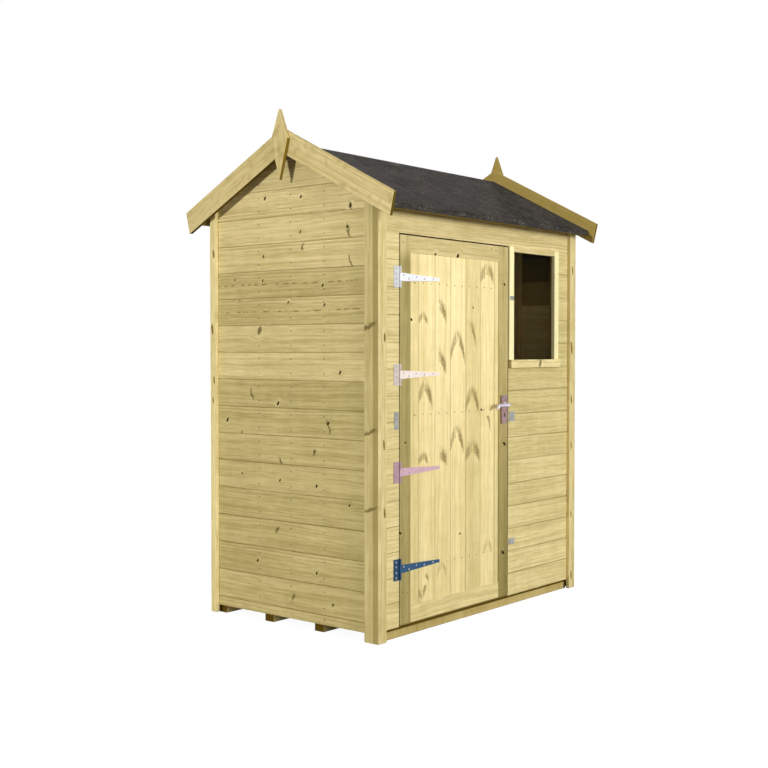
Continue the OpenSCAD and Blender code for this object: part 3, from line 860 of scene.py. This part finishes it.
class Heads:
    """Collects the heads of nails or screws, then makes one object of them."""

    def __init__(self, name, radius, recess=False):
        self.name = name
        self.rings = HEAD_SECTION + RECESS_SECTION if recess else HEAD_SECTION
        self.radius = radius
        self.points, self.faces = [], []

    def put(self, place, out):
        """A head on a surface at place, facing out."""
        side = out.orthogonal().normalized()
        other = out.cross(side)
        first = len(self.points)
        for ring, lift in self.rings:
            for i in range(HEAD_SIDES):
                turn = 2 * math.pi * i / HEAD_SIDES
                spoke = side * math.cos(turn) + other * math.sin(turn)
                self.points.append(place + spoke * (ring * self.radius) + out * (lift * self.radius))
        for r in range(len(self.rings) - 1):
            for i in range(HEAD_SIDES):
                j = (i + 1) % HEAD_SIDES
                low, high = first + r * HEAD_SIDES, first + (r + 1) * HEAD_SIDES
                self.faces.append((low + i, low + j, high + j, high + i))
        last = first + (len(self.rings) - 1) * HEAD_SIDES
        self.faces.append([last + i for i in range(HEAD_SIDES)])
        self.faces.append([first + i for i in reversed(range(HEAD_SIDES))])

    def make(self, material, slot, body):
        mesh = bpy.data.meshes.new(self.name)
        mesh.from_pydata(self.points, [], self.faces)
        add_piece(mesh, material, slot, body)


def boxes(node):
    """(lowest corner, highest corner) of each loose solid of a CAD node, in order of x, y and z."""
    return [span_of([v.co for v in solid.verts]) for solid in islands(node)]


# Kinds of wood

LONG_KNOT = (0.3, 1.0, 1.1)
wood("gable_boards", (216, 198, 140), (184, 165, 106))
wood("front_boards", (230, 213, 154), (202, 183, 122))
wood("frieze", (218, 201, 144), (190, 171, 112))
wood("door_boards", (254, 236, 177), (232, 209, 143), foot_darkening=(0.2, 1.25, 0.86))
wood("door_frame", (214, 196, 138), (182, 163, 104), foot_darkening=(0.2, 1.5, 0.54))
wood("hinge_stile", (218, 201, 144), (190, 171, 112), foot_darkening=(1.52, 1.58, 0.63))
wood(
    "dark_trim", (206, 190, 132), (180, 162, 104), knot=(88, 66, 14),
    heart=((154, 136, 78), 0.002, 0.034),
)
wood("pale_trim", (236, 219, 160), (208, 188, 126), knot=(134, 108, 50), eye=LONG_KNOT)
wood("window_trim", (252, 242, 186), (242, 228, 168))
wood(
    "roof_trim", (222, 203, 146), (196, 175, 114), flame=(160, 136, 70), shade=(136, 112, 32),
    mottle=0.45,
)
wood("framing", (214, 194, 136), (186, 162, 104))
wood("rough_timber", (206, 184, 120), (172, 148, 84), shade=(96, 72, 0))
wood("floor_boards", (200, 178, 120), (170, 146, 90))

# Walls

GABLE_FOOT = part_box("left_gable_wall")[0].z
FRONT_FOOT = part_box("front_wall_right")[0].z
GABLE_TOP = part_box("left_gable_wall")[1].z
FRONT_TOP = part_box("front_wall_left")[1].z
gable_lines = courses(*GABLE_COURSES, GABLE_FOOT, GABLE_TOP)
front_lines = courses(*FRONT_COURSES, FRONT_FOOT, FRONT_TOP)

# Tone of the boards left of the door
LEFT_STRIP_TONE = 0.3
# Tone of the door wall's other boards at the ground, how much it falls with height, and its least value
FRONT_TONE = (0.25, 0.65, -0.4)
# Foot height of each group of gable boards, from the top down, and its tone
GABLE_TONES = (
    (1.51, 0.45), (1.4, -0.65), (1.28, -0.3), (1.17, 0.0), (0.99, 0.2), (0.6, -0.65), (0.2, -0.8),
    (0.0, -0.4),
)


def gable_tone(height):
    """Gable boards come in groups of paler and darker boards."""
    return next(tone for foot, tone in GABLE_TONES if height > foot)


def front_tone(height):
    """The boards of the door wall grow a little darker upward."""
    start, fall, least = FRONT_TONE
    return max(least, start - fall * height)


def gable_clips(node):
    """The two roof planes that cut a gable's boards, as (place, normal)."""
    corners = corners_of(node)
    apex = max(corners, key=lambda c: c.z)
    clips = []
    for side in (-1, 1):
        eaves = max(corners, key=lambda c: (round(side * c.y, 4), c.z))
        slope = Vector((0, eaves.y - apex.y, eaves.z - apex.z)).normalized()
        normal = Vector((0, -slope.z * side, slope.y * side))
        clips.append((apex.copy(), normal))
    return clips


lay_boards(
    "left_gable_wall", -X, Z, gable_lines, "gable_boards",
    knots=GABLE_KNOTS, wild=False, tone_at=gable_tone, clips=gable_clips("left_gable_wall"),
    pith_at=PITH_HEIGHTS,
)
lay_boards(
    "right_gable_wall", X, Z, gable_lines, "gable_boards",
    tone_at=gable_tone, clips=gable_clips("right_gable_wall"),
)
lay_boards("back_wall", Y, Z, gable_lines, "gable_boards", tone_at=gable_tone)
lay_boards(
    "front_wall_left", -Y, Z, front_lines, "front_boards", wild=False,
    tone_at=lambda height: LEFT_STRIP_TONE,
)
for node in ("front_wall_right", "front_wall_beside_window"):
    lay_boards(node, -Y, Z, front_lines, "front_boards", wild=False, tone_at=front_tone)
lay_boards("front_frieze", -Y, Z, [], "frieze", slot="front_boards", wild=False, edge=FRIEZE_NOSE)

# Floor, roof deck and door panel

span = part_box("floor_deck")
floor_lines = [span[0].y + FLOOR_COVER * i for i in range(1, FLOOR_LINES + 1)]
lay_boards("floor_deck", Z, -Y, [-y for y in floor_lines], "floor_boards")

for node in ("roof_deck_front", "roof_deck_back"):
    corners = corners_of(node)
    ridge = max(corners, key=lambda c: c.z)
    edge = max(corners, key=lambda c: (round(abs(c.y), 4), c.z))
    slope = Vector((0, edge.y - ridge.y, edge.z - ridge.z)).normalized()
    normal = X.cross(slope) if X.cross(slope).z > 0 else -X.cross(slope)
    across = X.cross(normal)
    ends = sorted((across.dot(ridge), across.dot(edge)))
    lines = [ends[0] + DECK_COVER * i for i in range(1, DECK_LINES + 1)]
    outward = Y if edge.y > 0 else -Y
    clips = ((edge.copy(), outward), (ridge.copy(), -outward))
    lay_boards(node, normal, across, lines, "framing", clips=clips)

panel_lines = [PANEL_FIRST_LINE + PANEL_COVER * i for i in range(PANEL_LINES)]
lay_boards(
    "door_panel", -Y, X, panel_lines, "door_boards", "door", knots=PANEL_KNOTS,
    wild=False, edge=PANEL_NOSE,
)

# Framing, trim and door frame

FRAMING = (
    "left_gable_studs", "right_gable_studs", "back_studs", "front_studs", "wall_rails", "side_rails",
    "ridge_beam", "eaves_rails",
)
# Painted shade on the framing inside the shed
for node in FRAMING:
    dress(node, "framing", shades=INSIDE_SHADES, wild=True)
# Painted shade and highlights by face: dark tops and ends of the bearers, light sides of the trims and
# battens, dark inner faces, ends and undersides of the barges and finials
dress("floor_bearers", "rough_timber", shades=BEARER_SHADES)
dress("corner_trims", "dark_trim", shades=TRIM_SHADES)
dress("corner_battens", "pale_trim", tone=-0.2, tones=0.2, shades=BATTEN_SHADES)
for half in ("front", "back"):
    dress("left_barge_" + half, "roof_trim", shades=NEAR_BARGE_SHADES)
    dress("right_barge_" + half, "roof_trim", shades=FAR_BARGE_SHADES)
dress("left_finial", "roof_trim", along=Z, shades=NEAR_FINIAL_SHADES)
dress("right_finial", "roof_trim", along=Z, shades=FAR_FINIAL_SHADES)
dress("window_jamb_left", "window_trim", slot="pale_trim", tone=0.45)
dress("window_jamb_right", "window_trim", slot="pale_trim")
dress("window_head", "frieze", slot="pale_trim", tone=0.4, tones=0.0)
dress("window_sill", "front_boards", slot="pale_trim", tone=0.6, tones=0.0)
dress("door_stile_left", "hinge_stile", "door", slot="door_frame", tone=0.3, tones=0.0)
dress("door_stile_right", "door_frame", "door", tones=0.0)
dress("door_top_rail", "frieze", "door", slot="door_frame", tone=0.3, tones=0.0)
dress("door_bottom_rail", "front_boards", "door", slot="door_frame", tone=0.2, tones=0.0)
dress("door_ledges", "framing", "door")

# Roof felt

FELT_STEP = 0.03
FELT_RIPPLE = 0.0016
FELT_RIPPLES_PER_METRE = 4.0
FELT_BEND = 0.0012
# Least angle of an edge that is rounded, and how near to the ridge the felt lies flat
FELT_FOLD = 0.3
FELT_FLAT = 0.004
felt = felt_material()
for node in ("felt_front", "felt_back"):
    sheet = islands(node)[0]
    low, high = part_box(node)
    round_edges(sheet, [e for e in sheet.edges if e.calc_face_angle(0) > FELT_FOLD], FELT_BEND)
    for axis, direction in enumerate((X, Y)):
        reach = high[axis] - low[axis]
        steps = round(reach / FELT_STEP)
        for i in range(1, steps):
            cut(sheet, direction * (low[axis] + reach * i / steps), direction, fill=False)
    sheet.normal_update()
    for v in sheet.verts:
        if abs(v.co.y) > FELT_FLAT:
            v.co.z += max(0.0, FELT_RIPPLE * noise.noise(v.co * FELT_RIPPLES_PER_METRE))
    add_piece(mesh_of(sheet, node + "_sheet"), felt, "felt", "shed", node)

# Metal and glass that stay CAD

brown_steel = metal("nail_steel", (92, 74, 32), (70, 54, 20), (300.0, 300.0, 300.0), 0.0, 0.7)
dull_steel = metal("clout_steel", (120, 120, 122), (86, 86, 90), (200.0, 200.0, 200.0), 0.3, 0.6)
CAD_FINISH = {
    "hinge_plates": zinc_material("plate_zinc", 0.7),
    "hinge_straps": zinc_material("strap_zinc", 1.0),
    "small_plates": metal("grey_steel", (178, 178, 172), (148, 148, 144), (300.0, 40.0, 40.0), 0.4, 0.5),
    "lock_plate": metal("lock_satin", (172, 144, 142), (146, 119, 117), (40.0, 40.0, 600.0), 0.15, 0.45),
    "lever_handle": metal("lever_bright", (246, 240, 252), (226, 218, 236), (600.0, 60.0, 60.0), 0.4, 0.25),
    "window_pane": glass_material(),
}
for node, material in CAD_FINISH.items():
    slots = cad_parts[node].data.materials
    slots.clear()
    slots.append(material)

# Painted shade: a dark slug that fills the keyhole

KEYHOLE_DROP = 0.022
KEYHOLE_RADIUS = 0.005
KEYHOLE_SLOT = (0.006, 0.013)
KEYHOLE_DEPTH = 0.0005
KEYHOLE_SIDES = 24
low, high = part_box("lock_plate")
fill = high.y - low.y - KEYHOLE_DEPTH
keyhole_place = Vector(((low.x + high.x) / 2, high.y - fill / 2, (low.z + high.z) / 2 - KEYHOLE_DROP))
dark = bmesh.new()
bmesh.ops.create_cone(
    dark, cap_ends=True, segments=KEYHOLE_SIDES, radius1=KEYHOLE_RADIUS, radius2=KEYHOLE_RADIUS, depth=fill,
    matrix=Matrix.Translation(keyhole_place) @ Matrix.Rotation(math.pi / 2, 4, "X"),
)
slot_middle = keyhole_place - Z * (KEYHOLE_SLOT[1] / 2)
slot_size = Matrix.Diagonal((KEYHOLE_SLOT[0], fill, KEYHOLE_SLOT[1], 1.0))
bmesh.ops.create_cube(dark, size=1.0, matrix=Matrix.Translation(slot_middle) @ slot_size)
keyhole_shade_material = metal("keyhole_painted_shade", (30, 22, 18), (20, 14, 12), (100.0, 100.0, 100.0), 0.0, 0.9)
add_piece(mesh_of(dark, "keyhole_painted_shade"), keyhole_shade_material, "lock_metal", "door")

# Nails

NAIL_EDGE = 0.028
# A wall board narrower than this takes one nail, and a panel board narrower than the next takes none
ONE_NAIL_BOARD = 0.07
NO_NAIL_BOARD = 0.05
# Gable studs whose middle is nearer than this to the gable's middle are nailed
INNER_STUDS = 0.4
LEDGE_NAIL_STAGGER = 0.001
# Nails in a stile: distances from its ends, and how far off its middle
STILE_NAILS = (0.03, 0.13)
STILE_NAIL_OFFSET = 0.015


def nail_wall(heads, lines, low, high, studs, face, out, along):
    """Two nails in each board at each stud that crosses it."""
    edges = board_edges(lines, low, high)
    for foot, head in zip(edges, edges[1:]):
        one_nail = head - foot < ONE_NAIL_BOARD
        heights = [(foot + head) / 2] if one_nail else [foot + NAIL_EDGE, head - NAIL_EDGE]
        for stud_low, stud_high in studs:
            middle = (stud_low + stud_high) / 2
            for height in heights:
                if height < stud_high.z:
                    place = along * middle.dot(along) + out * face
                    heads.put(place + Z * height, out)


wall_nails = Heads("wall_nails", NAIL_RADIUS)
for side, node in ((-1, "left_gable"), (1, "right_gable")):
    wall_low, wall_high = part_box(node + "_wall")
    inner_studs = [b for b in boxes(node + "_studs") if abs(b[0].y + b[1].y) / 2 < INNER_STUDS]
    face = max(abs(wall_low.x), abs(wall_high.x))
    nail_wall(wall_nails, gable_lines, wall_low.z, wall_high.z, inner_studs, face, X * side, Y)
wall_low, wall_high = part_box("back_wall")
nail_wall(wall_nails, gable_lines, wall_low.z, wall_high.z, boxes("back_studs"), wall_high.y, Y, X)
wall_nails.make(brown_steel, "zinc", "shed")

door_nails = Heads("door_nails", NAIL_RADIUS)
panel_low, panel_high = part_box("door_panel")
panel_edges = [panel_low.x] + panel_lines + [panel_high.x]
for ledge_low, ledge_high in boxes("door_ledges"):
    middle = (ledge_low.z + ledge_high.z) / 2
    for left, right in zip(panel_edges, panel_edges[1:]):
        if right - left > NO_NAIL_BOARD:
            for x, side in ((left + NAIL_EDGE, 1), (right - NAIL_EDGE, -1)):
                door_nails.put(Vector((x, panel_low.y, middle + side * LEDGE_NAIL_STAGGER)), -Y)
for stile in ("door_stile_left", "door_stile_right"):
    low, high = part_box(stile)
    x = (low.x + high.x) / 2 - STILE_NAIL_OFFSET
    for from_end in STILE_NAILS:
        for z in (low.z + from_end, high.z - from_end):
            door_nails.put(Vector((x, low.y, z)), -Y)
door_nails.make(brown_steel, "zinc", "door")

# Screws of the hinges

PLATE_SCREW_X = 0.014
PLATE_SCREW_Z = (-0.031, -0.01, 0.012, 0.032)
STRAP_SCREWS = ((0.028, 0.008), (0.062, -0.006), (0.11, 0.004), (0.165, -0.002), (0.225, 0.001))
STRAP_THICKNESS = 0.004
PLATE_SCREWS = [(PLATE_SCREW_X, z) for z in PLATE_SCREW_Z]
screw_zinc = metal("screw_zinc", (214, 210, 204), (186, 182, 176), (200.0, 200.0, 200.0), 0.3, 0.45)
for part, body, places in (("plate", "shed", PLATE_SCREWS), ("strap", "door", STRAP_SCREWS)):
    screws = Heads("hinge_" + part + "_screws", SCREW_RADIUS, True)
    for low, high in boxes("hinge_" + part + "s"):
        for x, z in places:
            place = Vector((low.x + x, high.y - STRAP_THICKNESS, (low.z + high.z) / 2 + z))
            screws.put(place, -Y)
    screws.make(screw_zinc, "zinc", body)

# Clouts that hold the felt at the eaves

CLOUT_STEP = (0.12, 0.34)
# Height over the felt's lower edge, how far it varies, and the room at the two ends
CLOUT_LIFT = 0.014
CLOUT_SCATTER = 0.003
CLOUT_ENDS = (0.05, 0.02)
clouts = Heads("felt_clouts", CLOUT_RADIUS)
chance = random.Random("clouts")
for node, side in (("felt_front", -1), ("felt_back", 1)):
    low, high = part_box(node)
    y = low.y if side < 0 else high.y
    x = low.x + CLOUT_ENDS[0]
    while x < high.x - CLOUT_ENDS[1]:
        lift = CLOUT_LIFT + chance.uniform(-CLOUT_SCATTER, CLOUT_SCATTER)
        clouts.put(Vector((x, y, low.z + lift)), Y * side)
        x += chance.uniform(*CLOUT_STEP)
clouts.make(dull_steel, "zinc", "shed")

# Floor, light and camera

WHITE = (1.0, 1.0, 1.0, 1.0)
FLOOR_BOUNCE = 0.22
FLOOR_WHITE = 0.9
FLOOR_GLOW = 1.2
FLOOR_SHARE = 0.78
FLOOR_REACH = 30.0
SKY_LEVEL = 0.3


def floor_material():
    """White floor: bright for the camera and for mirrors, dull for the light it throws on the shed."""
    n = Nodes(bpy.data.materials.new("white_floor"))
    seen = n.math("MAXIMUM", n.ray("Camera"), n.ray("Glossy"))
    seen = n.math("MAXIMUM", seen, n.ray("Transmission"))
    grey = n.mix(seen, (*[FLOOR_BOUNCE] * 3, 1.0), (*[FLOOR_WHITE] * 3, 1.0))
    diffuse = n.add("BsdfDiffuse", {"Color": grey})
    white = n.add("Emission", {"Color": WHITE, "Strength": FLOOR_GLOW})
    mixed = n.add("MixShader", {0: seen * FLOOR_SHARE, 1: diffuse, 2: white})
    n.add("OutputMaterial", {"Surface": mixed})
    return n.owner


floor_mesh = bpy.data.meshes.new("studio_floor")
floor_corners = [(x * FLOOR_REACH, y * FLOOR_REACH, 0) for x, y in ((-1, -1), (1, -1), (1, 1), (-1, 1))]
floor_mesh.from_pydata(floor_corners, [], [(0, 1, 2, 3)])
floor_mesh.materials.append(floor_material())
new_object(floor_mesh)

scene.world = bpy.data.worlds.new("studio_sky")
sky = Nodes(scene.world)
seen = sky.math("MAXIMUM", sky.ray("Camera"), sky.ray("Transmission"))
level = sky.add("MapRange", {"Value": seen, "To Min": SKY_LEVEL, "To Max": 1.0})
sky.add("OutputWorld", {"Surface": sky.add("Background", {"Color": WHITE, "Strength": level})})


def sun(name, toward, strength, spread):
    """A soft distant lamp that shines from the direction toward."""
    lamp = bpy.data.lights.new(name, "SUN")
    lamp.energy = strength
    lamp.angle = math.radians(spread)
    new_object(lamp).rotation_euler = Vector(toward).to_track_quat("Z", "Y").to_euler()


sun("front_lamp", (-0.1, -0.98, 0.12), 2.93, 30)
sun("gable_lamp", (-0.96, 0.12, 0.15), 2.05, 3)
sun("back_lamp", (0.72, 0.62, 0.3), 1.8, 8)

camera_data = bpy.data.cameras.new("photo_camera")
camera_data.lens = CAMERA_LENS
camera_data.sensor_width = CAMERA_SENSOR
camera = new_object(camera_data)
camera.location = CAMERA_PLACE
camera.rotation_euler = (math.radians(90 - CAMERA_DOWN), 0.0, math.radians(-CAMERA_YAW))
scene.camera = camera
scene.view_settings.view_transform = "Standard"
